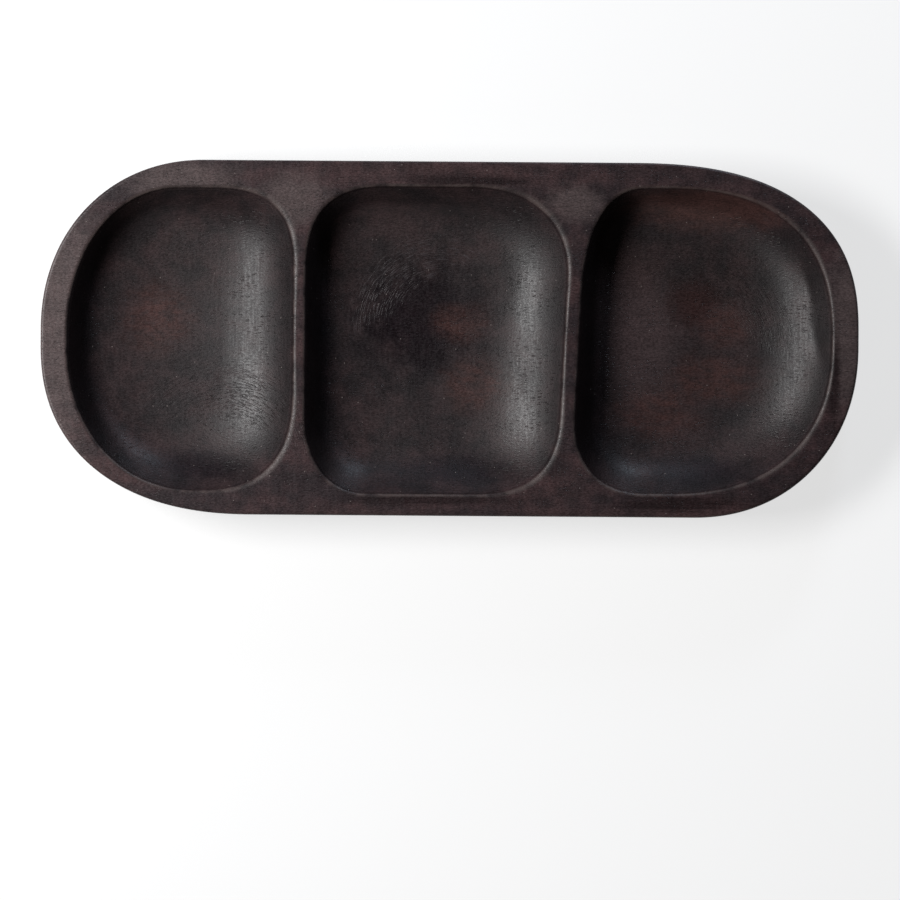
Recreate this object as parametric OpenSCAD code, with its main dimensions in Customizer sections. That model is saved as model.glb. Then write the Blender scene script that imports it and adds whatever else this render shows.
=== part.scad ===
// Serving bowl with three wells, carved from one block of hardwood and stained dark.
// Seen from above, the block is a long oval with nearly straight sides. Three wells with rounded
// corners lie in a row along it, parted by two thin ridges. The wells differ a little in length
// and at their corners, and the right ridge leans, as on a bowl that is finished by hand.
// X runs along the bowl, Y from front to back and Z up. The origin is the middle of the flat base.

/* [Block] */
// Length of the bowl from end to end
bowl_length = 300; // [270:1:360]
// Width of the bowl from front to back
bowl_width = 130; // [100:1:160]
// Height of the bowl from the table to the rim
bowl_height = 22; // [20:0.5:32]

/* [Underside] */
// How far the rounded underside runs in below the side
underside_run = 19; // [6:0.5:26]
// How far up the side the rounded underside reaches
underside_rise = 13.5; // [5:0.5:16]

/* [Rim] */
// Width of the flat rim at the two ends
end_rim_width = 9.8; // [5:0.1:14]
// Width of the flat rim along the front and the back
side_rim_width = 9.4; // [5:0.1:14]
// Radius that softens the outer edge of the rim
rim_edge_radius = 1; // [0.3:0.1:2]

/* [Wells] */
// Length of the left well
left_well_length = 82.7; // [60:0.1:110]
// Length of the right well
right_well_length = 92.6; // [60:0.1:110]
// Depth of the wells below the rim at their lowest
well_depth = 16; // [13:0.5:17]
// How far each well's steep wall runs inwards to the corner that it makes with the floor
wall_run = 8.3; // [5:0.1:12]
// How far the floor falls from that corner to its lowest point
floor_fall = 3.4; // [2:0.1:6]
// How far the rounding of that corner reaches up the wall and across the floor
cove_reach = 11; // [2:0.5:12]
// Radius that softens the edge round each well
well_edge_radius = 1.2; // [0.3:0.1:1.4]
// How far to the left of its middle the left well is lowest
left_well_shift = 5; // [0:0.5:10]
// How far to the left of its middle the middle well is lowest
middle_well_shift = 8; // [0:0.5:10]
// How far to the left of its middle the right well is lowest
right_well_shift = 5; // [0:0.5:10]

/* [Ridges] */
// Thickness of the ridge between the left and the middle well
left_ridge_width = 4.6; // [3:0.1:8]
// Thickness of the ridge between the middle and the right well
right_ridge_width = 5.6; // [3:0.1:8]
// How far the right ridge leans, to the right at the back and to the left at the front
right_ridge_lean = 2.6; // [0:0.1:6]
// How far the middle of each ridge dips below the rim
ridge_dip = 0.8; // [0.2:0.1:2]

/* [Hidden] */
wood_colour = "#3a2622";

// Steps round each corner of the block and of a well
block_corner_steps = 20;
well_corner_steps = 15;
// Steps up the underside, up a well's floor and cove, and over a softened edge
underside_steps = 9;
floor_steps = 4;
cove_steps = 7;
edge_steps = 3;
// Half the length of the level spot at the lowest point of a well
level_reach = 3;
// Length of the hollow in a ridge's crest, across the ridge and the walls beside it
hollow_length = 30;
// Sides of the wide round that hollows a ridge's crest
hollow_sides = 720;
// Angle that the softened edge of a well turns through, just short of level with the rim
edge_sweep = 84;
// How far the cutting solids reach past what they cut
overrun = 1;

// Corners of each outline, anticlockwise from the back right one: how far the corner's curve runs
// along the outline and how far it drops across it, as shares of the outline's length and width
block_corner_shares = [[0.28, 0.48], [0.20, 0.48], [0.26, 0.48], [0.20, 0.48]];
left_corner_shares = [[0.38, 0.28], [0.50, 0.49], [0.57, 0.48], [0.43, 0.35]];
middle_corner_shares = [[0.38, 0.30], [0.33, 0.31], [0.26, 0.27], [0.36, 0.29]];
right_corner_shares = [[0.68, 0.50], [0.25, 0.36], [0.29, 0.26], [0.62, 0.50]];

// Fullness of the same corners, where 2 is a plain ellipse and more is squarer
block_fullness = [2.5, 2.1, 2.3, 2.1];
left_fullness = [2.8, 2.1, 2.1, 2.6];
middle_fullness = [2.2, 2.8, 2.3, 2.8];
right_fullness = [2.5, 2.4, 2.3, 2.3];

// Rim behind and in front of each well, as shares of the side rim's width
back_rim_shares = [1.1, 1.0, 1.0];
front_rim_shares = [0.94, 0.86, 0.94];

// The middle well takes the length that the others, the ridges and the rims leave
middle_well_length = bowl_length - 2 * end_rim_width - left_well_length - right_well_length
    - left_ridge_width - right_ridge_width;
well_lengths = [left_well_length, middle_well_length, right_well_length];

// Middle of each well along the bowl
left_well_x = -bowl_length / 2 + end_rim_width + left_well_length / 2;
right_well_x = bowl_length / 2 - end_rim_width - right_well_length / 2;
middle_well_x = left_well_x + (left_well_length + middle_well_length) / 2 + left_ridge_width;
well_xs = [left_well_x, middle_well_x, right_well_x];

// Middle of each ridge along the bowl
left_ridge_x = left_well_x + (left_well_length + left_ridge_width) / 2;
right_ridge_x = right_well_x - (right_well_length + right_ridge_width) / 2;

// How far the left and the right side of each well lean
well_leans = [[0, 0], [0, right_ridge_lean], [right_ridge_lean, 0]];

// The crest of each ridge is hollowed by a wide arc over most of the wells' width
hollow_reach_share = 0.8;
hollow_reach = hollow_reach_share * (bowl_width / 2 - side_rim_width);
hollow_radius = (pow(hollow_reach, 2) + pow(ridge_dip, 2)) / (2 * ridge_dip);

// Height of the steep wall of a well, and how far each well's lowest point is off its middle
wall_fall = well_depth - floor_fall;
low_shifts = [-left_well_shift, -middle_well_shift, -right_well_shift];

// How far the crest of a ridge lies below the rim at a place, or zero away from the ridges
function hollow_depth(x, y) =
    let(
        from_left = abs(x - left_ridge_x),
        from_right = abs(x - right_ridge_x),
        on_crest = min(from_left, from_right) < hollow_length / 2 && abs(y) < hollow_reach
    )
    on_crest ? ridge_dip - hollow_radius + sqrt(pow(hollow_radius, 2) - pow(y, 2)) : 0;

// One point of a corner curve whose run and drop are both 1
function corner_point(angle, fullness) =
    let(reach = pow(pow(cos(angle), fullness) + pow(sin(angle), fullness), -1 / fullness))
    [reach * cos(angle), reach * sin(angle)];

// Closed outline about its own middle, anticlockwise from the right side
function outline(size, corner_shares, fullness, steps) = [
    for (corner = [0:3])
        let(
            side_x = corner == 0 || corner == 3 ? 1 : -1,
            side_y = corner < 2 ? 1 : -1,
            run = corner_shares[corner][0] * size[0],
            drop = corner_shares[corner][1] * size[1]
        )
        for (step = [0:steps])
            let(
                forward = corner % 2 == 0 ? step : steps - step,
                point = corner_point(90 * forward / steps, fullness[corner])
            )
            [
                side_x * (size[0] / 2 - run + run * point[0]),
                side_y * (size[1] / 2 - drop + drop * point[1])
            ]
];

// The same outline with its left and right sides leaning by their own amounts
function leaning(points, size, leans) = [
    for (point = points)
        let(across = point[0] / size[0] + 1 / 2)
        [
            point[0] + (leans[0] * (1 - across) + leans[1] * across) * 2 * point[1] / size[1],
            point[1]
        ]
];

// Rings of an outline, one for each [inset, height] of a profile that is listed from the bottom up
function rings(points, size, middle, profile) = [
    for (step = profile, point = points)
        [
            middle[0] + point[0] * (1 - 2 * step[0] / size[0]),
            middle[1] + point[1] * (1 - 2 * step[0] / size[1]),
            step[1]
        ]
];

// How large the ring of a well is at an inset, as shares of its outline. Near the outline the inset
// is the same on all sides, and towards the middle the rings shrink to a point together.
function ring_shares(size, inset) =
    let(share = 2 * inset / min(size))
    [
        for (length = size)
            let(even = min(size) / length)
            1 - even * share - (1 - even) * pow(max(share, 0), 3)
    ];

// A point of an outline drawn by a share towards the ellipse of the same size
function rounder(point, size, share) =
    let(angle = atan2(point[1] / size[1], point[0] / size[0]))
    point * (1 - share) + [size[0] * cos(angle), size[1] * sin(angle)] / 2 * share;

// Rings of a well. Towards the middle they grow rounder and move sideways to the lowest point.
function well_rings(points, size, middle, low_shift, profile) = [
    for (step = profile)
        let(
            shares = ring_shares(size, step[0]),
            inwards = max(2 * step[0] / min(size), 0)
        )
        for (point = points)
            let(round_point = rounder(point, size, pow(inwards, 2)))
            [
                middle[0] + low_shift * inwards + round_point[0] * shares[0],
                middle[1] + round_point[1] * shares[1],
                step[1]
            ]
];

// The same rings with the upper wall drawn down where the crest of a ridge is hollowed
function drawn_down(points) = [
    for (point = points)
        let(share = max(0, 1 - (bowl_height - point[2]) / wall_fall))
        [point[0], point[1], point[2] - hollow_depth(point[0], point[1]) * share]
];

// Profile of a well's floor and wall as [inset, height] steps from the lowest point up to the edge:
// a dished floor, a cove round the corner and a straight wall
function well_profile(half) =
    let(
        run = half - level_reach - wall_run,
        radius = (pow(run, 2) + pow(floor_fall, 2)) / (2 * floor_fall),
        bottom = bowl_height - well_depth,
        foot_run = run - cove_reach,
        foot = [wall_run + cove_reach, bottom + radius - sqrt(pow(radius, 2) - pow(foot_run, 2))],
        corner = [wall_run, bottom + floor_fall],
        wall_top = [0, bowl_height - well_edge_radius],
        cove_top = corner + (wall_top - corner) * min(cove_reach / norm(wall_top - corner), 1)
    )
    [
        for (step = [0:floor_steps - 1])
            let(along = foot_run * step / floor_steps)
            [half - level_reach - along, bottom + radius - sqrt(pow(radius, 2) - pow(along, 2))],
        for (step = [0:cove_steps])
            let(share = step / cove_steps)
            pow(1 - share, 2) * foot + 2 * share * (1 - share) * corner + pow(share, 2) * cove_top,
        wall_top
    ];

// Quarter of an ellipse as [inset, height] steps, from its lowest point to its side
function cove(run, rise, bottom, steps) = [
    for (step = [0:steps])
        let(angle = 90 * step / steps)
        [run * (1 - sin(angle)), bottom + rise * (1 - cos(angle))]
];

// Solid through rings of points, closed with flat ends
module loft(points, count) {
    last = len(points) / count - 1;
    polyhedron(
        points = points,
        faces = [
            [for (spoke = [0:count - 1]) spoke],
            [for (spoke = [count - 1:-1:0]) last * count + spoke],
            for (ring = [0:last - 1], spoke = [0:count - 1])
                let(
                    low = ring * count,
                    high = low + count,
                    next = (spoke + 1) % count
                )
                each [[low + spoke, high + spoke, high + next], [low + spoke, high + next, low + next]]
        ],
        convexity = 6
    );
}

// The block before it is hollowed: flat base, rounded underside, upright side, softened rim
module block() {
    size = [bowl_length, bowl_width];
    points = outline(size, block_corner_shares, block_fullness, block_corner_steps);
    edge_bottom = bowl_height - rim_edge_radius;
    rim_edge = [
        for (step = [0:edge_steps])
            let(angle = 90 * step / edge_steps)
            [rim_edge_radius * (1 - cos(angle)), edge_bottom + rim_edge_radius * sin(angle)]
    ];
    profile = concat(cove(underside_run, underside_rise, 0, underside_steps), rim_edge);
    loft(rings(points, size, [0, 0], profile), len(points));
}

// What is carved out for one well: dished floor, cove, steep wall and softened edge, and on past
// the rim
module well(index, corner_shares, fullness) {
    back_y = bowl_width / 2 - back_rim_shares[index] * side_rim_width;
    front_y = -bowl_width / 2 + front_rim_shares[index] * side_rim_width;
    size = [well_lengths[index], back_y - front_y];
    middle = [well_xs[index], (back_y + front_y) / 2];
    points = leaning(outline(size, corner_shares, fullness, well_corner_steps), size, well_leans[index]);
    profile = well_profile(min(size) / 2);
    edge_bottom = bowl_height - well_edge_radius;
    edge = [
        for (step = [1:edge_steps])
            let(angle = edge_sweep * step / edge_steps)
            [-well_edge_radius * (1 - cos(angle)), edge_bottom + well_edge_radius * sin(angle)]
    ];
    mouth = [[edge[edge_steps - 1][0], bowl_height + overrun]];
    low_shift = low_shifts[index];
    sides = drawn_down(well_rings(points, size, middle, low_shift, concat(profile, edge)));
    loft(concat(sides, well_rings(points, size, middle, low_shift, mouth)), len(points));
}

// What is taken off the crest of one ridge
module ridge_hollow(ridge_x) {
    translate([ridge_x - hollow_length / 2, 0, bowl_height - ridge_dip + hollow_radius])
        rotate([0, 90, 0])
            cylinder(r = hollow_radius, h = hollow_length, $fn = hollow_sides);
}

module carved_bowl() {
    color(wood_colour)
        difference() {
            block();
            well(0, left_corner_shares, left_fullness);
            well(1, middle_corner_shares, middle_fullness);
            well(2, right_corner_shares, right_fullness);
            ridge_hollow(left_ridge_x);
            ridge_hollow(right_ridge_x);
        }
}

carved_bowl();
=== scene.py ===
# %% [markdown]
# A serving bowl with three wells
#
# The real bowl is one block of hardwood, stained nearly black. Three shallow wells are carved
# into it side by side, two thin ridges stand between them, and the underside is rounded off so
# that fingers fit under it. Nothing is glued or screwed on, so the scene has one piece.
#
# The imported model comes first. Its box fixes the size of everything that follows.

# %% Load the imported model
from math import asin, atan2, cos, exp, pi, radians, sin

import bmesh
import bpy
from mathutils import Matrix, Vector, noise


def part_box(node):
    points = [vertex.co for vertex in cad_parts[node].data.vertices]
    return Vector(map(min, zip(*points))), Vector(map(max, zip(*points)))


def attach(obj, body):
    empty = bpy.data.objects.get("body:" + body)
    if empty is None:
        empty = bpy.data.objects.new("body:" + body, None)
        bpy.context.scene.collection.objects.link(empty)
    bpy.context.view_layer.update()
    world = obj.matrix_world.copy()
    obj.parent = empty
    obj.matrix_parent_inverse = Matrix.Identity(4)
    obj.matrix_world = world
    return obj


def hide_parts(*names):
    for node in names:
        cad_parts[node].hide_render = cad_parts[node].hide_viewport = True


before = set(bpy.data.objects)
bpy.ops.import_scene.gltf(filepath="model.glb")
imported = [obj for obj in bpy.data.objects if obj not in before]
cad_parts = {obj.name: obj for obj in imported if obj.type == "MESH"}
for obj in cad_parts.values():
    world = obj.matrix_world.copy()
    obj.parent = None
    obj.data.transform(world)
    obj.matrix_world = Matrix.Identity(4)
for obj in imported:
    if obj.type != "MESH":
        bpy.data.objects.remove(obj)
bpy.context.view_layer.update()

MM = 0.001
NODE = "carved_bowl"
low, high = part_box(NODE)
BOWL_LENGTH, BOWL_WIDTH, RIM_HEIGHT = high - low
print(f"bowl {BOWL_LENGTH / MM:.0f} by {BOWL_WIDTH / MM:.0f} by {RIM_HEIGHT / MM:.0f} mm")

# %% [markdown]
# Camera
#
# The picture looks straight down on the bowl from far away, so its edges hardly converge. A long
# lens gives that. The bowl sits in the upper half of the picture and is turned by less than half
# a degree, so the camera stands a little towards the front and is turned by the same angle.

# %% Camera
PICTURE_PIXELS = 900
BOWL_LENGTH_PIXELS = 818.4
BOWL_MIDDLE_PIXELS = (449.6, 338.7)
PICTURE_TURN = radians(0.42)
CAMERA_DISTANCE = 2.6
SENSOR_WIDTH_MM = 36

metres_per_pixel = BOWL_LENGTH / BOWL_LENGTH_PIXELS
camera_data = bpy.data.cameras.new("camera")
camera_data.sensor_width = SENSOR_WIDTH_MM
camera_data.lens = SENSOR_WIDTH_MM * CAMERA_DISTANCE / (PICTURE_PIXELS * metres_per_pixel)
camera = bpy.data.objects.new("camera", camera_data)
right_of_bowl = (PICTURE_PIXELS / 2 - BOWL_MIDDLE_PIXELS[0]) * metres_per_pixel
front_of_bowl = (PICTURE_PIXELS / 2 - BOWL_MIDDLE_PIXELS[1]) * metres_per_pixel
turned = Matrix.Rotation(PICTURE_TURN, 4, "Z")
camera.location = turned @ Vector((right_of_bowl, -front_of_bowl, RIM_HEIGHT + CAMERA_DISTANCE))
camera.rotation_euler = (0, 0, PICTURE_TURN)
bpy.context.scene.collection.objects.link(camera)
bpy.context.scene.camera = camera
print(f"lens {camera_data.lens:.0f} mm, {metres_per_pixel / MM:.3f} mm to a pixel")

# %% [markdown]
# Light
#
# Dark satin wood shows its shape by what it mirrors. A large soft lamp on the left draws the broad
# bands of sheen on the walls that face it and leaves the walls that face away black. A small lamp
# behind on the right touches the near left corners of the wells. A wide, weak lamp in front lifts
# the back walls a little, and a weak, even world keeps the rest readable.

# %% Lamps and world
LAMP_AIM = Vector((0, 0, 0))
WORLD_STRENGTH = 0.008


def soft_lamp(name, place, size, power, tint=(1, 1, 1)):
    """A rectangular lamp that points at the bowl's foot and isn't seen by the camera."""
    data = bpy.data.lights.new(name, "AREA")
    data.shape = "RECTANGLE"
    data.size, data.size_y = size
    data.energy = power
    data.color = tint
    lamp = bpy.data.objects.new(name, data)
    lamp.location = place
    lamp.rotation_euler = (LAMP_AIM - Vector(place)).to_track_quat("-Z", "Y").to_euler()
    lamp.visible_camera = False
    bpy.context.scene.collection.objects.link(lamp)


soft_lamp("key", (-0.525, 0.074, 0.530), size=(0.40, 0.22), power=7.9)
soft_lamp("corner", (0.257, 0.706, 0.274), size=(0.14, 0.12), power=2.3, tint=(0.75, 0.85, 1))
soft_lamp("front", (0, -0.693, 0.400), size=(0.50, 0.50), power=0.4)

world = bpy.data.worlds.new("world")
world.use_nodes = True
background = world.node_tree.nodes["Background"]
background.inputs["Color"].default_value = (1, 1, 1, 1)
background.inputs["Strength"].default_value = WORLD_STRENGTH
bpy.context.scene.world = world
bpy.context.scene.view_settings.view_transform = "Standard"

# %% [markdown]
# Studio floor
#
# The bowl stands on white. The floor is a disc with a low upright wall far away, spun from one
# bent line, so that a camera near the ground still sees white behind the bowl.

# %% Floor
FLOOR_RADIUS = 14
FLOOR_SIDES = 96
WALL_TOP = 1.2

floor_mesh = bmesh.new()
bend = [(0, 0, 0), (FLOOR_RADIUS, 0, 0), (FLOOR_RADIUS, 0, WALL_TOP)]
corners = [floor_mesh.verts.new(point) for point in bend]
line = [floor_mesh.edges.new(pair) for pair in zip(corners, corners[1:])]
bmesh.ops.spin(floor_mesh, geom=corners + line, cent=(0, 0, 0), axis=(0, 0, 1), angle=2 * pi,
               steps=FLOOR_SIDES, use_merge=True, use_normal_flip=False)
bmesh.ops.remove_doubles(floor_mesh, verts=floor_mesh.verts, dist=0.1 * MM)
bmesh.ops.recalc_face_normals(floor_mesh, faces=floor_mesh.faces)
floor_data = bpy.data.meshes.new("studio_floor")
floor_mesh.to_mesh(floor_data)
floor_mesh.free()
floor = bpy.data.objects.new("studio_floor", floor_data)
bpy.context.scene.collection.objects.link(floor)
print(f"floor {2 * FLOOR_RADIUS} m across")

# %% [markdown]
# A material is a tree of nodes. Three helpers keep the trees short to read. One makes a node and
# fills its inputs, one does a sum, and one starts an empty material.

# %% Node helpers
def add_node(tree, kind, inputs=None, **settings):
    """A node with its settings made and its inputs set or linked, by name or by number."""
    made = tree.nodes.new(kind)
    for name, value in settings.items():
        setattr(made, name, value)
    for name, value in (inputs or {}).items():
        if isinstance(value, bpy.types.NodeSocket):
            tree.links.new(value, made.inputs[name])
        else:
            made.inputs[name].default_value = value
    return made


def number(tree, operation, *values):
    """One Math node."""
    return add_node(tree, "ShaderNodeMath", dict(enumerate(values)), operation=operation).outputs[0]


def new_material(name):
    """An empty material and its node tree."""
    material = bpy.data.materials.new(name)
    material.use_nodes = True
    material.node_tree.nodes.clear()
    return material, material.node_tree


# %% [markdown]
# A lit white floor would look grey and uneven, and a glowing one would have no shadow. So the
# camera and mirror rays see mostly plain white, mixed with enough of the lit surface to keep the
# shadow. All other rays see the lit surface alone.

# %% Studio white
SHADOW_SHARE = 0.3

studio_white, tree = new_material("studio_white")
rays = add_node(tree, "ShaderNodeLightPath").outputs
mirror_rays = number(tree, "MAXIMUM", rays["Is Glossy Ray"], rays["Is Transmission Ray"])
seen_rays = number(tree, "MAXIMUM", rays["Is Camera Ray"], mirror_rays)
seen_share = number(tree, "MULTIPLY", seen_rays, 1 - SHADOW_SHARE)
lit = add_node(tree, "ShaderNodeBsdfDiffuse", {"Color": (0.9, 0.9, 0.9, 1)})
plain = add_node(tree, "ShaderNodeEmission", {"Color": (1, 1, 1, 1), "Strength": 1.0})
mixed = add_node(tree, "ShaderNodeMixShader", {0: seen_share, 1: lit.outputs[0], 2: plain.outputs[0]})
add_node(tree, "ShaderNodeOutputMaterial", {"Surface": mixed.outputs[0]})
floor_data.materials.append(studio_white)
print(f"shadow kept: {SHADOW_SHARE:.0%}")

# %% [markdown]
# Outlines
#
# The block and each well have their own outline: straight sides joined by four corner curves. Each
# corner is a quarter of a superellipse with its own reach along and across the outline, and its
# own fullness: 2 is an ellipse and more is squarer. The corners are given as shares, from the back
# right one anticlockwise. The points are then spaced evenly, because even quads shade evenly.

# %% Outline helpers
CORNER_STEPS = 60


def corner_point(angle, fullness):
    """A point of a corner curve whose reach is 1 both ways."""
    reach = (cos(angle) ** fullness + sin(angle) ** fullness) ** (-1 / fullness)
    return reach * cos(angle), reach * sin(angle)


def outline(size, corner_shares, fullness):
    """The points of an outline about its own middle, anticlockwise from the right."""
    points = []
    sides = ((1, 1), (-1, 1), (-1, -1), (1, -1))
    for corner, (side_x, side_y) in enumerate(sides):
        run = corner_shares[corner][0] * size[0]
        drop = corner_shares[corner][1] * size[1]
        for step in range(CORNER_STEPS + 1):
            forward = step if corner % 2 == 0 else CORNER_STEPS - step
            x, y = corner_point(pi / 2 * forward / CORNER_STEPS, fullness[corner])
            points.append(Vector((side_x * (size[0] / 2 - run + run * x),
                                  side_y * (size[1] / 2 - drop + drop * y))))
    return points


def evenly_spaced(points, count):
    """The same closed line with its points at equal steps along it."""
    closed = points + points[:1]
    lengths = [(b - a).length for a, b in zip(closed, closed[1:])]
    step = sum(lengths) / count
    spaced, done, piece = [], 0.0, 0
    for number_done in range(count):
        while done + lengths[piece] < number_done * step:
            done += lengths[piece]
            piece += 1
        share = (number_done * step - done) / lengths[piece]
        spaced.append(closed[piece].lerp(closed[piece + 1], share))
    return spaced


print("points round a corner:", CORNER_STEPS + 1)

# %% [markdown]
# The block's four corners differ a little, as in the real bowl. The wells aren't alike either. The
# left one is shorter and rounder at the outer end, the middle one is nearly square, and the right one
# leans with its ridge. Outlines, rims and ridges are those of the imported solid.

# %% Block outline
BLOCK_POINTS = 480
BLOCK_CORNERS = [(0.28, 0.48), (0.20, 0.48), (0.26, 0.48), (0.20, 0.48)]
BLOCK_FULLNESS = [2.5, 2.1, 2.3, 2.1]

block_outline = outline((BOWL_LENGTH, BOWL_WIDTH), BLOCK_CORNERS, BLOCK_FULLNESS)
block_outline = evenly_spaced(block_outline, BLOCK_POINTS)
print("points round the block:", len(block_outline))

# %% Well outlines
WELL_POINTS = 256
END_RIM = 9.8 * MM
SIDE_RIM = 9.4 * MM
WELL_LENGTHS = [82.7 * MM, 94.9 * MM, 92.6 * MM]
RIDGES = [4.6 * MM, 5.6 * MM]
RIDGE_LEAN = 2.6 * MM
BACK_RIM_SHARES = [1.1, 1.0, 1.0]
FRONT_RIM_SHARES = [0.94, 0.86, 0.94]
WELL_CORNERS = [
    [(0.38, 0.28), (0.50, 0.49), (0.57, 0.48), (0.43, 0.35)],
    [(0.38, 0.30), (0.33, 0.31), (0.26, 0.27), (0.36, 0.29)],
    [(0.68, 0.50), (0.25, 0.36), (0.29, 0.26), (0.62, 0.50)],
]
WELL_FULLNESS = [[2.8, 2.1, 2.1, 2.6], [2.2, 2.8, 2.3, 2.8], [2.5, 2.4, 2.3, 2.3]]
WELL_LEANS = [(0, 0), (0, RIDGE_LEAN), (RIDGE_LEAN, 0)]


def well_outline(index):
    """The middle and size of a well and its outline about that middle."""
    left = low.x + END_RIM + sum(WELL_LENGTHS[:index]) + sum(RIDGES[:index])
    back = high.y - BACK_RIM_SHARES[index] * SIDE_RIM
    front = low.y + FRONT_RIM_SHARES[index] * SIDE_RIM
    size = Vector((WELL_LENGTHS[index], back - front))
    middle = Vector((left + size.x / 2, (back + front) / 2, 0))
    leans = WELL_LEANS[index]
    points = []
    for point in outline(size, WELL_CORNERS[index], WELL_FULLNESS[index]):
        across = point.x / size.x + 0.5
        lean = leans[0] * (1 - across) + leans[1] * across
        points.append(Vector((point.x + lean * 2 * point.y / size.y, point.y)))
    return middle, size, evenly_spaced(points, WELL_POINTS)


wells = [well_outline(index) for index in range(len(WELL_LENGTHS))]
for middle, size, points in wells:
    print(f"well at x {middle.x / MM:.1f}, {size.x / MM:.1f} by {size.y / MM:.1f} mm")

# %% [markdown]
# The carved block
#
# A block like this could be cut with booleans, but lofting it ring by ring gives cleaner quads and
# puts rings exactly where an edge is softened. One loop of edges is extruded again and again. Each
# new loop is the outline at some inset and height. One list of such steps shapes the side and the
# underside of the block, and a function works out another for each well.

# %% Ring helpers
CORNER_SPREAD = 1.1
TIGHT_TURN = radians(30)


def block_ring(points, size, inset):
    """The points of the block's outline, drawn in by an inset."""
    return [Vector((point.x * (1 - 2 * inset / size.x), point.y * (1 - 2 * inset / size.y), 0))
            for point in points]


def well_ring(points, size, middle, low_shift, insets):
    """The points of a well's outline, drawn in by an inset at the front right and another opposite.

    Towards the middle the rings grow rounder, move to the lowest point and shrink there together.
    Outside the outline, where the edge is softened, they spread further at the right corners.
    """
    short = min(size)
    placed = []
    for point in points:
        angle = atan2(point.y / size.y, point.x / size.x)
        inset = insets[0] + (insets[1] - insets[0]) * (1 - cos(angle + TIGHT_TURN)) / 2
        if inset < 0:
            inset *= 1 + CORNER_SPREAD * sin(2 * angle) ** 2 * (1 + cos(angle)) / 2
        inwards = max(2 * inset / short, 0)
        ellipse = Vector((size.x * cos(angle), size.y * sin(angle))) / 2
        place = point.lerp(ellipse, inwards ** 2)
        for axis, length in enumerate(size):
            place[axis] *= 1 - 2 * inset / length - (1 - short / length) * inwards ** 3
        placed.append(middle + low_shift * inwards + place.to_3d())
    return placed


def loft(place_ring, steps):
    """A mesh of rings, one for each [inset, height, worn, in well] step, closed at the last."""
    mesh = bmesh.new()
    spoke = mesh.verts.layers.int.new("spoke")
    layers = [mesh.verts.layers.float.new(name) for name in ("worn_edge", "in_well")]
    count = len(place_ring(steps[0][0]))
    ring = bmesh.ops.create_circle(mesh, segments=count, radius=1)["verts"]
    edges = list(mesh.edges)
    for index, vert in enumerate(ring):
        vert[spoke] = index
    for index, (inset, height, *values) in enumerate(steps):
        if index:
            made = bmesh.ops.extrude_edge_only(mesh, edges=edges)["geom"]
            ring = [g for g in made if isinstance(g, bmesh.types.BMVert)]
            edges = [g for g in made if isinstance(g, bmesh.types.BMEdge) and g.is_boundary]
        placed = place_ring(inset)
        for vert in ring:
            vert.co = placed[vert[spoke]]
            vert.co.z = height
            for layer, value in zip(layers, values):
                vert[layer] = value
    lid = bmesh.ops.contextual_create(mesh, geom=edges)["faces"]
    for vert in bmesh.ops.poke(mesh, faces=lid)["verts"]:
        for layer, value in zip(layers, values):
            vert[layer] = value
    return mesh


def even_steps(first, last, count):
    """Values from the first to the last, without the first."""
    return [first + (last - first) * step / count for step in range(1, count + 1)]


print(f"the edge of a well is up to {CORNER_SPREAD:.0%} wider at its right corners")

# %% [markdown]
# The side of the block goes down from a softened rim edge, past an upright band, and round under
# to the flat base. The worn value says how close a ring is to a corner that hands rub. The outer
# corner is rubbed less than the edges of the wells.

# %% Block
RIM_EDGE = 1 * MM
EDGE_STEPS = 5
UNDERSIDE_RUN = 19 * MM
UNDERSIDE_RISE = 13.5 * MM
UNDERSIDE_STEPS = 22
LEVEL_BAND = 0.4 * MM
OUTER_WEAR = 0.3

block_size = Vector((BOWL_LENGTH, BOWL_WIDTH))
steps = [(RIM_EDGE + LEVEL_BAND, RIM_HEIGHT, 0, 0), (RIM_EDGE, RIM_HEIGHT, 0, 0)]
for angle in even_steps(0, pi / 2, EDGE_STEPS):
    steps.append((RIM_EDGE * (1 - sin(angle)), RIM_HEIGHT - RIM_EDGE * (1 - cos(angle)),
                  OUTER_WEAR * sin(2 * angle), 0))
upright = RIM_HEIGHT - RIM_EDGE - UNDERSIDE_RISE
for share in (0.25, 0.5, 0.75):
    steps.append((0, RIM_HEIGHT - RIM_EDGE - upright * share, 0, 0))
for angle in [0] + even_steps(0, pi / 2, UNDERSIDE_STEPS):
    steps.append((UNDERSIDE_RUN * (1 - cos(angle)), UNDERSIDE_RISE * (1 - sin(angle)), 0, 0))
block = loft(lambda inset: block_ring(block_outline, block_size, inset), steps)
print("block faces:", len(block.faces))

# %% [markdown]
# Each well goes down over a softened edge and a short steep wall, turns through a cove, and ends in
# a floor that is dished all the way to its lowest point. Wall, cove and dish meet without a kink,
# because the cove is a curve between their two slopes. The gouge bit deeper at the back left: there
# the cove is tight. It opens out towards the front right, and the lowest point lies left of the
# middle. The widths of the cove and of the softened edge were judged by the sheen in the picture,
# so they differ by up to 3 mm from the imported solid's. The depth is the same.

# %% Well profile
WELL_EDGE = 1.2 * MM
WELL_DEPTH = 16 * MM
FLOOR_FALL = 3.4 * MM
LEVEL_REACH = 3 * MM
COVE_STEPS = 18
DISH_STEPS = 16


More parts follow.
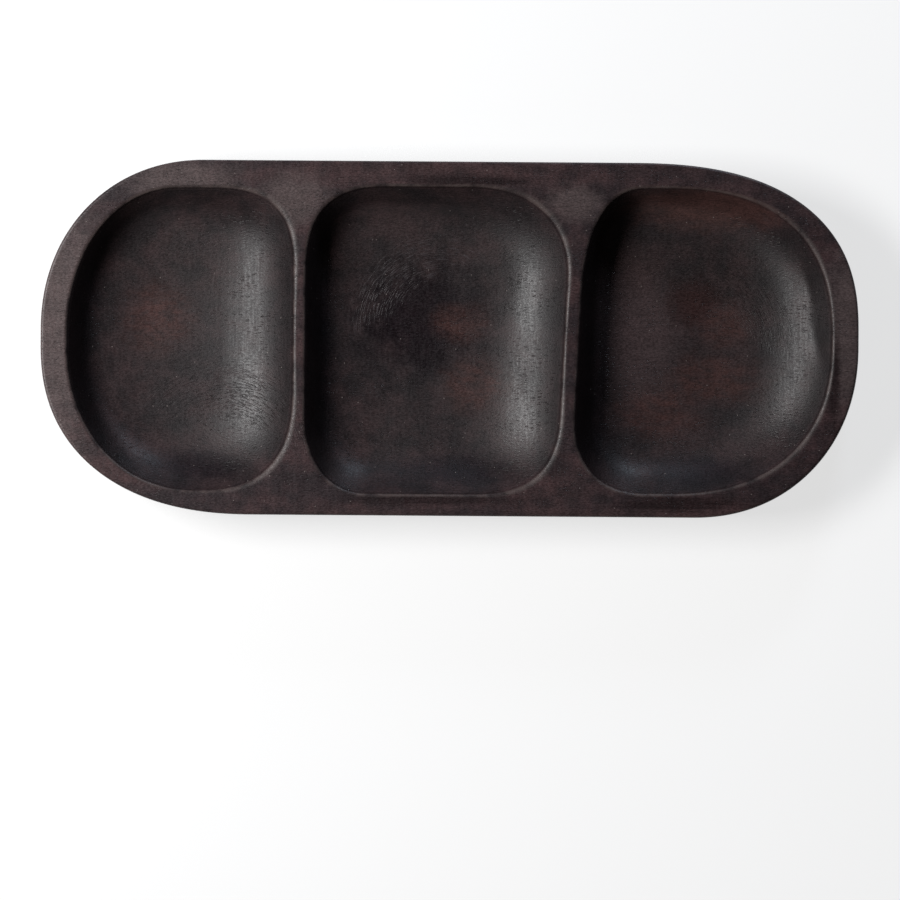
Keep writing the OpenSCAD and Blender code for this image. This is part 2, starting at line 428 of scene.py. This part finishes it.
def well_profile(size, wall_run, cove_reach):
    """The wall, cove and floor of a well as (inset, height) points, down to its middle."""
    half = min(size) / 2
    run = half - LEVEL_REACH - wall_run
    radius = (run ** 2 + FLOOR_FALL ** 2) / (2 * FLOOR_FALL)
    bottom = RIM_HEIGHT - WELL_DEPTH
    wall_top = Vector((0, RIM_HEIGHT - WELL_EDGE))
    corner = Vector((wall_run, bottom + FLOOR_FALL))
    cove_top = corner.lerp(wall_top, cove_reach / (wall_top - corner).length)
    foot_slope = asin((run - cove_reach) / radius)
    foot = Vector((wall_run + cove_reach, bottom + radius * (1 - cos(foot_slope))))
    profile = [wall_top, wall_top.lerp(cove_top, 0.5), cove_top]
    for share in even_steps(0, 1, COVE_STEPS):
        profile.append(cove_top.lerp(corner, share).lerp(corner.lerp(foot, share), share))
    for slope in even_steps(foot_slope, 0, DISH_STEPS):
        height = bottom + radius * (1 - cos(slope))
        profile.append(Vector((half - LEVEL_REACH - radius * sin(slope), height)))
    return profile


def inset_at(profile, height):
    """How far in a profile is at a height."""
    for above, below in zip(profile, profile[1:]):
        if below.y <= height:
            return above.x + (below.x - above.x) * (above.y - height) / (above.y - below.y)
    return profile[-1].x


print(f"wells {WELL_DEPTH / MM:.0f} mm deep, with floors that fall by {FLOOR_FALL / MM:.1f} mm")

# %% [markdown]
# The in_well value is 0 on the rim and very small on a well's edge, and from there it grows with the
# inset to almost 1 at the well's middle. The wood reads it later to tell a well from the rim.

# %% Wells
WALL_RUNS = [(10 * MM, run * MM) for run in (6.8, 6.6, 5.4)]
COVE_REACHES = (13 * MM, 5 * MM)
LOW_SHIFTS = [Vector((shift * MM, 0, 0)) for shift in (-5, -8, -5)]
EDGE_IN_WELL = 0.02


def well_steps(size, wall_runs):
    """The steps from the rim down to the middle of a well, each with its two insets."""
    steps = [(-WELL_EDGE - LEVEL_BAND, RIM_HEIGHT, 0, 0), (-WELL_EDGE, RIM_HEIGHT, 0, 0)]
    for angle in even_steps(0, pi / 2, EDGE_STEPS):
        steps.append((-WELL_EDGE * (1 - sin(angle)), RIM_HEIGHT - WELL_EDGE * (1 - cos(angle)),
                      sin(2 * angle), EDGE_IN_WELL))
    steps = [((inset, inset), *values) for inset, *values in steps]
    open_side, tight_side = [well_profile(size, *sizes) for sizes in zip(wall_runs, COVE_REACHES)]
    for inset, height in open_side[1:]:
        insets = (inset, inset_at(tight_side, height))
        steps.append((insets, height, 0, max(EDGE_IN_WELL, 2 * inset / min(size))))
    return steps


parts = [block]
for (middle, size, points), low_shift, wall_runs in zip(wells, LOW_SHIFTS, WALL_RUNS):
    steps = well_steps(size, wall_runs)
    parts.append(loft(lambda insets: well_ring(points, size, middle, low_shift, insets), steps))
    print(f"well {(RIM_HEIGHT - steps[-1][1]) / MM:.1f} mm deep, {len(parts[-1].faces)} faces")

# %% [markdown]
# The four parts are joined. The only open edges are the four loops round the flat rim, and one
# fill closes them.

# %% Join the parts and fill the rim
mesh = bmesh.new()
for part in parts:
    part_data = bpy.data.meshes.new("part")
    part.to_mesh(part_data)
    part.free()
    mesh.from_mesh(part_data)
    bpy.data.meshes.remove(part_data)
open_edges = [edge for edge in mesh.edges if edge.is_boundary]
bmesh.ops.triangle_fill(mesh, edges=open_edges, use_beauty=True, normal=(0, 0, 1))
bmesh.ops.recalc_face_normals(mesh, faces=mesh.faces)
for face in mesh.faces:
    face.smooth = True
print("faces:", len(mesh.faces), "open edges:", sum(not edge.is_manifold for edge in mesh.edges))

# %% [markdown]
# Three moves of the finished surface follow. The crests of the ridges dip a little between their
# ends. The wells waver by a fraction of a millimetre, as anything sanded by hand does, and that
# breaks up the sheen. Two shallow gouge marks are left in the wall of the right well. The dips end
# before the ridges do, and the other moves fade out at the rim, so the box stays as it is.

# %% Finish the surface
RIDGE_DIP = 0.8 * MM
DIP_SHARE = 0.8
DIP_REACH = DIP_SHARE * (BOWL_WIDTH / 2 - SIDE_RIM)
DIP_HALF_WIDTH = 15 * MM
DIP_DEPTH = WELL_DEPTH - FLOOR_FALL
WAVER = 0.12 * MM
WAVER_LENGTH = 24 * MM
FADE_IN_WELL = 0.15
GOUGE_DEPTH = 0.9 * MM
GOUGE_REACH = Vector((2.4, 9)) * MM
GOUGES = [Vector((131.5, 21)) * MM, Vector((135, 0)) * MM]
GOUGE_TURN = radians(14)

ridge_xs = [wells[0][0].x + wells[0][1].x / 2 + RIDGES[0] / 2,
            wells[2][0].x - wells[2][1].x / 2 - RIDGES[1] / 2]
well_layer = mesh.verts.layers.float["in_well"]
for vert in mesh.verts:
    over_floor = (vert.co.z - RIM_HEIGHT + DIP_DEPTH) / DIP_DEPTH
    from_ridge = min(abs(vert.co.x - x) for x in ridge_xs)
    along = abs(vert.co.y) / DIP_REACH
    if over_floor > 0 and from_ridge < DIP_HALF_WIDTH and along < 1:
        vert.co.z -= RIDGE_DIP * (1 - along ** 2) ** 1.5 * over_floor
    if vert[well_layer] > 0:
        inside = min(1, vert[well_layer] / FADE_IN_WELL)
        vert.co.z += WAVER * inside * noise.noise(vert.co / WAVER_LENGTH)
        for middle in GOUGES:
            offset = (vert.co.xy - middle) @ Matrix.Rotation(GOUGE_TURN, 2)
            out = (offset.x / GOUGE_REACH.x) ** 2 + (offset.y / GOUGE_REACH.y) ** 2
            vert.co.z -= GOUGE_DEPTH * inside * exp(-out)
print("ridges at x", [round(x / MM, 1) for x in ridge_xs])

# %% Make the piece
bowl_data = bpy.data.meshes.new("bowl")
mesh.to_mesh(bowl_data)
mesh.free()
bowl = bpy.data.objects.new("bowl", bowl_data)
bpy.context.scene.collection.objects.link(bowl)
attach(bowl, "root")
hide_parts(NODE)
print("bowl:", len(bowl_data.vertices), "points,", len(bowl_data.polygons), "faces")

# %% [markdown]
# Stained wood
#
# The wood is built as a solid: every pattern reads the position in the block, so grain runs through
# the rim and down into the wells as it does in a carved plank. A painted picture would need seams
# and would stretch on the walls. The patterns are worked out in millimetres, which makes their
# sizes easy to compare with the real thing.

# %% Helpers for patterns
def vector(tree, operation, *values, scale=None):
    """One Vector Math node. A length or a dot product comes out as a value."""
    inputs = dict(enumerate(values))
    if scale is not None:
        inputs["Scale"] = scale
    made = add_node(tree, "ShaderNodeVectorMath", inputs, operation=operation)
    return made.outputs["Value" if operation in ("LENGTH", "DOT_PRODUCT") else "Vector"]


def between(tree, value, start, end, low=0.0, high=1.0):
    """Eases from low to high while the value goes from start to end."""
    made = add_node(tree, "ShaderNodeMapRange", {"Value": value, "From Min": start, "From Max": end,
                    "To Min": low, "To Max": high}, interpolation_type="SMOOTHSTEP")
    return made.outputs["Result"]


def clouds(tree, where, size, detail=2.0, roughness=0.5, shift=(0, 0, 0)):
    """Noise whose blobs are about as long, wide and high as the size in millimetres."""
    placed = add_node(tree, "ShaderNodeMapping", {"Vector": where, "Location": shift,
                      "Scale": [1 / length for length in size]})
    made = add_node(tree, "ShaderNodeTexNoise", {"Vector": placed.outputs[0], "Scale": 1.0,
                    "Detail": detail, "Roughness": roughness})
    return made.outputs["Fac"]


def mixed_colour(tree, share, first, second):
    """The first colour at share 0 and the second at share 1."""
    made = add_node(tree, "ShaderNodeMix", {0: share, 6: first, 7: second}, data_type="RGBA")
    return made.outputs[2]


def colour(red, green, blue):
    """An opaque colour, in the linear values that the nodes work with."""
    return (red, green, blue, 1)


# %% Start the wood
RIM_IN_WELL = 0.03

wood, tree = new_material("stained_wood")
coordinates = add_node(tree, "ShaderNodeTexCoord").outputs
where = vector(tree, "SCALE", coordinates["Object"], scale=1 / MM)
in_well = add_node(tree, "ShaderNodeAttribute", attribute_name="in_well").outputs["Fac"]
worn_edge = add_node(tree, "ShaderNodeAttribute", attribute_name="worn_edge").outputs["Fac"]
on_rim = between(tree, in_well, 0.0, RIM_IN_WELL, 1.0, 0.0)
print("patterns in millimetres")

# %% [markdown]
# Figure
#
# Stain sinks in unevenly. Soft reddish clouds lie over a nearly black ground. They are round in the
# wells, whose floors cut across the grain at a low angle, and stretched along the grain on the rim.
# Noise of several sizes gives both, and the same few noises also roughen the edges of the patches
# that follow.

# %% Clouds of stain
cloud = clouds(tree, where, (55, 16, 16), detail=3.0, roughness=0.55)
blotch = clouds(tree, where, (17, 15, 15), detail=3.0, roughness=0.55, shift=(2, 6, 1))
mottle = clouds(tree, where, (6, 3, 3), detail=3.0, roughness=0.6, shift=(7, 2, 5))
streak = clouds(tree, where, (22, 1.1, 1.4), detail=3.0, roughness=0.6, shift=(3, 1, 0))
soft_mottle = clouds(tree, where, (7, 7, 7), detail=3.0, roughness=0.6, shift=(4, 9, 2))
figure = number(tree, "MULTIPLY_ADD", on_rim, number(tree, "SUBTRACT", cloud, blotch), blotch)
red_share = between(tree, number(tree, "MULTIPLY_ADD", soft_mottle, 0.45, figure), 0.55, 0.95)
print("nodes for the clouds:", len(tree.nodes))

# %% [markdown]
# Patches in the wells
#
# Some places took the stain in their own way, and those are given one by one. The middle well has one
# dark heart where the sander dug in. The front coves are darkened, and that is painted shade. The
# floors were sanded most, so red shows there in patches. The right well is deep red in the middle. The
# left of its floor is painted paler, a painted pool of light that lifts the shadow of its left wall,
# and its back wall is painted lighter and redder, standing in for light from the front. Each patch is
# an ellipsoid, given by its middle and its reach in millimetres, and one of the noises makes its edge
# ragged.

# %% Patches
def patch(tree, where, middle, reach, raggedness):
    """A soft patch round a point, with a ragged edge."""
    shares = vector(tree, "DIVIDE", vector(tree, "SUBTRACT", where, middle), reach)
    out = vector(tree, "LENGTH", shares)
    return between(tree, number(tree, "MULTIPLY_ADD", raggedness, 0.9, out), 0.75, 1.55, 1.0, 0.0)


def patches(tree, where, places, raggedness):
    """The strongest of several patches."""
    strongest = patch(tree, where, *places[0], raggedness)
    for middle, reach in places[1:]:
        strongest = number(tree, "MAXIMUM", strongest, patch(tree, where, middle, reach, raggedness))
    return strongest


def laid_on(tree, ground, mask, strength, tint):
    """A ground with a tint laid on where a mask is."""
    return mixed_colour(tree, number(tree, "MULTIPLY", mask, strength), ground, tint)


# %% Floors of the wells
FLOOR_BLACK = colour(0.0125, 0.0092, 0.0100)
FLOOR_BROWN = colour(0.0230, 0.0138, 0.0143)
STAIN_AND_SHADE_BLACK = colour(0.0045, 0.0018, 0.0032)
SANDED_RED = colour(0.0400, 0.0165, 0.0145)
DARK_HEART = ((-9, 7, 8), (30, 27, 30))
# Painted shade: these patches darken the front coves of the wells.
FRONT_COVE_SHADE = [((x, y, 10), (24, 7, 20)) for x, y in ((-90, -47), (4, -48), (92, -48))]
SANDED_PATCHES = [
    ((-107, 7, 8), (17, 16, 30)), ((4, 6, 8), (14, 9, 30)), ((10, -17, 8), (16, 13, 30)),
    ((101, 6, 8), (13, 11, 30)), ((98, -14, 8), (24, 12, 30)), ((78, -26, 8), (20, 12, 30)),
]

floor_colour = mixed_colour(tree, red_share, FLOOR_BLACK, FLOOR_BROWN)
dark_heart = number(tree, "MULTIPLY", patch(tree, where, *DARK_HEART, soft_mottle), 0.9)
# Painted shade in the front coves.
cove_shade = number(tree, "MULTIPLY", patches(tree, where, FRONT_COVE_SHADE, mottle), 0.7)
# The dark heart is stain and the darkened coves are painted shade. Both are mixed towards one black.
stain_and_cove_shade = number(tree, "MAXIMUM", dark_heart, cove_shade)
floor_colour = mixed_colour(tree, stain_and_cove_shade, floor_colour, STAIN_AND_SHADE_BLACK)
sanded = patches(tree, where, SANDED_PATCHES, soft_mottle)
broken_up = between(tree, mottle, 0.32, 0.66, 0.3, 0.85)
floor_colour = laid_on(tree, floor_colour, sanded, broken_up, SANDED_RED)
print("sanded patches:", len(SANDED_PATCHES))

# %% Right well
PAINTED_LIGHT_BROWN = colour(0.0480, 0.0310, 0.0315)
DEEP_RED = colour(0.0200, 0.0070, 0.0065)
PAINTED_LIGHT_BACK_RED = colour(0.0460, 0.0200, 0.0170)
# Painted light: the left of the right well's floor is painted paler, lifting the shadow of its left
# wall.
PAINTED_LIGHT_LEFT = ((70, 4, 8), (18, 34, 30))
DEEP_MIDDLE = ((90, 14, 8), (12, 12, 30))
# Painted light: the back wall of the right well is painted lighter and redder, standing in for light
# from the front.
PAINTED_LIGHT_BACK_WALL = ((98, 50, 14), (44, 11, 20))

# Painted light laid on the left of the right well's floor.
painted_light_left = patch(tree, where, *PAINTED_LIGHT_LEFT, soft_mottle)
floor_colour = laid_on(tree, floor_colour, painted_light_left, 0.7, PAINTED_LIGHT_BROWN)
deep_middle = patch(tree, where, *DEEP_MIDDLE, soft_mottle)
floor_colour = laid_on(tree, floor_colour, deep_middle, 0.85, DEEP_RED)
# Painted light on the back wall of the right well.
painted_light_back_wall = patch(tree, where, *PAINTED_LIGHT_BACK_WALL, mottle)
floor_colour = laid_on(tree, floor_colour, painted_light_back_wall, 0.8, PAINTED_LIGHT_BACK_RED)
print("nodes so far:", len(tree.nodes))

# %% [markdown]
# The end walls of the wells cut across the fibres. That end grain drinks more stain than side
# grain, so those walls are darkest. The normal along X finds them.

# %% End grain
END_GRAIN_BLACK = colour(0.0050, 0.0030, 0.0034)

along_grain = number(tree, "ABSOLUTE", vector(tree, "DOT_PRODUCT", coordinates["Normal"], (1, 0, 0)))
end_grain = between(tree, along_grain, 0.42, 0.78, 0.0, 0.8)
floor_colour = mixed_colour(tree, end_grain, floor_colour, END_GRAIN_BLACK)
print("nodes so far:", len(tree.nodes))

# %% [markdown]
# Rim
#
# The rim is lighter than the floors. Its two ends and parts of its back are paler still: partly wear
# from hands, and partly painted light, where the lamp on the left lights the left end and the back
# more. Stain has pooled in narrow dark streaks beside the wells. They are patches again, on top of
# the same clouds.

# %% Rim
RIM_BLACK = colour(0.0190, 0.0125, 0.0140)
RIM_BROWN = colour(0.0400, 0.0215, 0.0220)
WORN_AND_LIT_RIM_GREY = colour(0.0620, 0.0450, 0.0440)
STREAK_BLACK = colour(0.0085, 0.0035, 0.0040)
# Partly wear and partly painted light: the left end and the back of the rim are painted paler where
# the lamp on the left lights them more.
WORN_AND_LIT_RIM_PATCHES = [
    ((-146, 4, 22), (26, 60, 30)), ((-57, 51, 22), (16, 12, 20)), ((46, 50, 22), (12, 9, 20)),
    ((147, 6, 22), (12, 40, 30)), ((-98, 58, 22), (26, 9, 20)),
]
POOLED_STREAKS = [
    ((8, 58, 22), (30, 3, 20)), ((-8, -59, 22), (40, 3, 20)), ((84, -60, 22), (30, 4, 20)),
    ((141, -14, 22), (3, 22, 20)), ((-39, 36, 22), (4, 14, 20)),
]

rim_colour = mixed_colour(tree, red_share, RIM_BLACK, RIM_BROWN)
# Wear and painted light on the rim.
worn_and_lit_rim = patches(tree, where, WORN_AND_LIT_RIM_PATCHES, mottle)
rim_colour = laid_on(tree, rim_colour, worn_and_lit_rim, 0.85, WORN_AND_LIT_RIM_GREY)
pooled = patches(tree, where, POOLED_STREAKS, streak)
rim_colour = laid_on(tree, rim_colour, pooled, 0.85, STREAK_BLACK)
ground = mixed_colour(tree, on_rim, floor_colour, rim_colour)
print("patches on the rim:", len(WORN_AND_LIT_RIM_PATCHES + POOLED_STREAKS))

# %% [markdown]
# Fine grain
#
# From close by, the wood has faint streaks along the grain, a soft mottling and a fine speckle. They
# make the colour lighter and darker but don't change its hue, so they are one shade that it is
# multiplied by.

# %% Fine grain
grain = clouds(tree, where, (1.1, 0.45, 0.45), detail=2.0, roughness=0.7)
streak_depth = number(tree, "MULTIPLY_ADD", on_rim, 0.02, 0.07)
streak_shade = between(tree, streak, 0.30, 0.70, -1.0, 1.0)
streak_shade = number(tree, "MULTIPLY_ADD", streak_shade, streak_depth, 1.0)
mottling = between(tree, soft_mottle, 0.30, 0.70, 0.86, 1.16)
speckle = between(tree, grain, 0.3, 0.7, 0.68, 1.32)
shade = number(tree, "MULTIPLY", number(tree, "MULTIPLY", streak_shade, mottling), speckle)
ground = vector(tree, "SCALE", ground, scale=shade)
print("nodes so far:", len(tree.nodes))

# %% [markdown]
# Pores
#
# The wood is full of open pores. Each is a short dark dash along the grain, a fraction of a
# millimetre wide. They are the middles of long, thin cells, and only some of the cells are open. The
# cells are also deep, so that plenty of them meet the surface, whether it is level or a wall.

# %% Pores
PORE_CELL = (2.5, 0.46, 4)


def dashes(tree, where, cell, openness):
    """A mask of short dashes along X, one in each open cell."""
    placed = add_node(tree, "ShaderNodeMapping", {"Vector": where,
                      "Scale": [1 / length for length in cell]})
    cells = add_node(tree, "ShaderNodeTexVoronoi", {"Vector": placed.outputs[0], "Scale": 1.0})
    inside = between(tree, cells.outputs["Distance"], 0.18, 0.40, 1.0, 0.0)
    chance = add_node(tree, "ShaderNodeSeparateColor", {"Color": cells.outputs["Color"]}).outputs[0]
    return number(tree, "MULTIPLY", inside, number(tree, "LESS_THAN", chance, openness))


pore_zone = between(tree, clouds(tree, where, (24, 11, 11), shift=(1, 8, 3)), 0.35, 0.65, 0.2, 1.0)
pores = number(tree, "MULTIPLY", dashes(tree, where, PORE_CELL, openness=0.5), pore_zone)
print(f"pores about {PORE_CELL[0] / 2:.1f} mm long")

# %% [markdown]
# Sanding marks
#
# The floor of each well was finished with a disc, which left faint curved scratches. They are noise
# in polar coordinates, fine across the arcs and long along them, and a mask keeps them to one side
# of the point that the disc turned about. In the middle well they are pale, in the others dark.

# %% Sanding arcs
def arcs(tree, where, middle, radius, side, shift=(0, 0, 0)):
    """A mask of curved scratches about a point, strongest at one radius and on one side."""
    offset = vector(tree, "SUBTRACT", where, (*middle, 0))
    axes = add_node(tree, "ShaderNodeSeparateXYZ", {0: offset}).outputs
    flat = add_node(tree, "ShaderNodeCombineXYZ", {0: axes[0], 1: axes[1]}).outputs[0]
    out = vector(tree, "LENGTH", flat)
    along = number(tree, "MULTIPLY", number(tree, "ARCTAN2", axes[1], axes[0]), radius)
    polar = add_node(tree, "ShaderNodeCombineXYZ", {0: out, 1: along}).outputs[0]
    lines = between(tree, clouds(tree, polar, (0.38, 4.5, 9), detail=1.0, shift=shift), 0.52, 0.68)
    from_radius = number(tree, "ABSOLUTE", number(tree, "SUBTRACT", out, radius))
    near = between(tree, from_radius, 4, 14, 1.0, 0.0)
    facing = vector(tree, "DOT_PRODUCT", flat, (cos(side), sin(side), 0))
    there = between(tree, number(tree, "DIVIDE", facing, radius), 0.35, 0.85)
    return number(tree, "MULTIPLY", lines, number(tree, "MULTIPLY", near, there))


pale_arcs = arcs(tree, where, (-3, 5), radius=24, side=radians(120))
left_arcs = arcs(tree, where, (-84, -50), radius=30, side=radians(74), shift=(5, 0, 3))
right_arcs = arcs(tree, where, (88, -4), radius=30, side=radians(60), shift=(9, 0, 7))
dark_arcs = number(tree, "MAXIMUM", left_arcs, right_arcs)
print("arcs in three wells")

# %% [markdown]
# Wear and dust
#
# Pores and dark scratches hold old stain. Hands have rubbed the softened edges to a paler brown,
# which the worn_edge value of the rings brings out, and a little dust has settled as pale specks.
# Each speck is the middle of a cell, like a pore, but round and far rarer.

# %% Wear and dust
PORE_BLACK = colour(0.003, 0.002, 0.002)
SCRATCH_GREY = colour(0.050, 0.042, 0.046)
RUBBED_BROWN = colour(0.068, 0.050, 0.047)
DUST_GREY = colour(0.20, 0.17, 0.16)
DUST_CHANCE = 0.08

hollows = number(tree, "MAXIMUM", pores, dark_arcs)
base = laid_on(tree, ground, hollows, 0.45, PORE_BLACK)
base = laid_on(tree, base, pale_arcs, 0.5, SCRATCH_GREY)
uneven_wear = between(tree, soft_mottle, 0.35, 0.62, 0.1, 0.8)
base = laid_on(tree, base, worn_edge, uneven_wear, RUBBED_BROWN)
grit = add_node(tree, "ShaderNodeTexVoronoi", {"Vector": where, "Scale": 0.55}).outputs
chance = add_node(tree, "ShaderNodeSeparateColor", {"Color": grit["Color"]}).outputs[1]
dust = number(tree, "MULTIPLY", number(tree, "LESS_THAN", chance, DUST_CHANCE),
              between(tree, grit["Distance"], 0.06, 0.15, 1.0, 0.0))
base = laid_on(tree, base, dust, 0.6, DUST_GREY)
print("nodes so far:", len(tree.nodes))

# %% [markdown]
# Relief
#
# The fibres and the pale scratches stand up slightly, and pores and dark scratches sink in. All of
# it is far too small to model, so a bump is enough.

# %% Relief
BUMP_HEIGHT = 0.11 * MM

fibre = clouds(tree, where, (1.2, 0.6, 0.6), detail=2.0, roughness=0.7)
relief = number(tree, "SUBTRACT", number(tree, "MULTIPLY", fibre, 0.8),
                number(tree, "MULTIPLY", hollows, 0.6))
relief = number(tree, "MULTIPLY_ADD", pale_arcs, 0.5, relief)
bumped = add_node(tree, "ShaderNodeBump", {"Strength": 1.0, "Distance": BUMP_HEIGHT, "Height": relief})
print(f"bump up to {BUMP_HEIGHT / MM:.2f} mm")

# %% [markdown]
# Sheen
#
# The finish is satin. Fine brush marks across the grain break up its sheen. The dark heart, the rim
# and four patches low on the right walls, where food is scooped out, are polished more, and so they
# are a little less rough.

# %% Sheen
SATIN_ROUGHNESS = (0.39, 0.54)
SPECULAR_LEVEL = 0.27
POLISHED_PATCHES = [
    ((-72, -22, 12), (9, 20, 20)), ((27, 16, 12), (9, 16, 20)), ((23, -30, 12), (11, 15, 20)),
    ((121, -27, 12), (13, 16, 20)),
]

brushed = clouds(tree, where, (0.7, 8, 3), detail=2.0, shift=(6, 0, 2))
brushed = number(tree, "MULTIPLY_ADD", brushed, 0.5, grain)
roughness = between(tree, brushed, 0.55, 0.95, *SATIN_ROUGHNESS)
polished = patches(tree, where, POLISHED_PATCHES, soft_mottle)
for mask, change in ((polished, -0.06), (dark_heart, -0.08), (on_rim, -0.03)):
    roughness = number(tree, "MULTIPLY_ADD", mask, change, roughness)
shader = add_node(tree, "ShaderNodeBsdfPrincipled", {"Base Color": base, "Roughness": roughness,
                  "Specular IOR Level": SPECULAR_LEVEL, "Normal": bumped.outputs[0]})
add_node(tree, "ShaderNodeOutputMaterial", {"Surface": shader.outputs[0]})
bowl_data.materials.append(wood)
print("nodes in the wood:", len(tree.nodes))
